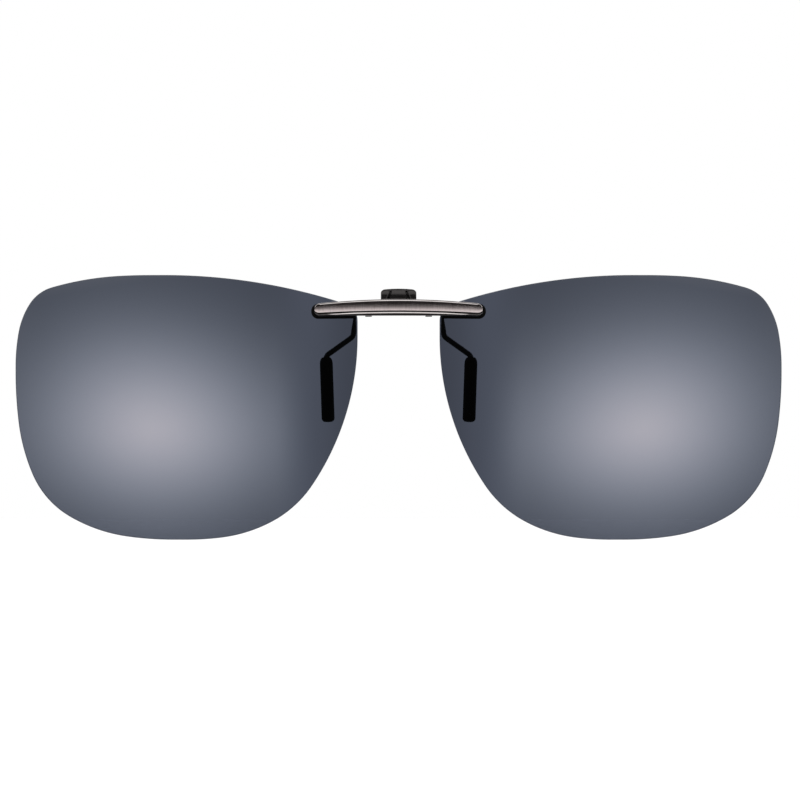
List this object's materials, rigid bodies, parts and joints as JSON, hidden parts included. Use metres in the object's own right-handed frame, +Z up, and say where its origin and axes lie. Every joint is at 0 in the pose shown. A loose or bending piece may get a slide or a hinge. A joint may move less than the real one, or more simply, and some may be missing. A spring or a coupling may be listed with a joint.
{
  "type": "clip on sunglasses",
  "caption": "Rimless tinted clip-on lenses on a gunmetal bridge bar, with a sprung clip behind it: a thumb tab opens two rubber-sleeved wires to grip a pair of spectacles.",
  "frame": {"origin": "middle of the bridge in X, halfway through the depth in Y, level with the lowest point of the lenses in Z, with the clip closed", "axes": "+X to the wearer's left, +Y from the front of the glasses towards the wearer, +Z up"},
  "size_m": [0.136, 0.0124, 0.0469],
  "materials": {
    "tinted_lens": "polished smoke-grey tint with a faint blue cast, see-through",
    "gunmetal": "gunmetal plate, polished rims and a satin channel",
    "black_metal": "black plated, semi-gloss",
    "steel": "bright turned steel",
    "spring_steel": "drawn spring wire",
    "black_rubber": "matt black",
    "black_nylon": "moulded, matt",
    "grip_plastic": "moulded, satin"
  },
  "bodies": {
    "front": {"bridge_bar": "gunmetal", "left_lens": "tinted_lens", "right_lens": "tinted_lens", "left_gasket": "black_rubber", "right_gasket": "black_rubber", "left_rear_pad": "black_nylon", "right_rear_pad": "black_nylon", "left_inner_lens_screw": "steel", "left_outer_lens_screw": "steel", "right_inner_lens_screw": "steel", "right_outer_lens_screw": "steel", "hinge_bracket": "black_metal", "hinge_pin": "steel", "clip_spring": "spring_steel"},
    "clip": {"clip_plate": "black_metal", "thumb_grip": "grip_plastic", "left_clip_wire": "black_metal", "right_clip_wire": "black_metal", "left_sleeve": "black_rubber", "right_sleeve": "black_rubber"}
  },
  "joints": [
    {"name": "clip_hinge", "type": "hinge", "parent": "front", "child": "clip", "pos_m": [0, -0.0023, 0.04085], "axis": [1, 0, 0], "range_deg": [0, 28], "stiffness_Nm_per_rad": 0.0022, "springref_deg": -85.94, "deforming": ["clip_spring"]}
  ]
}
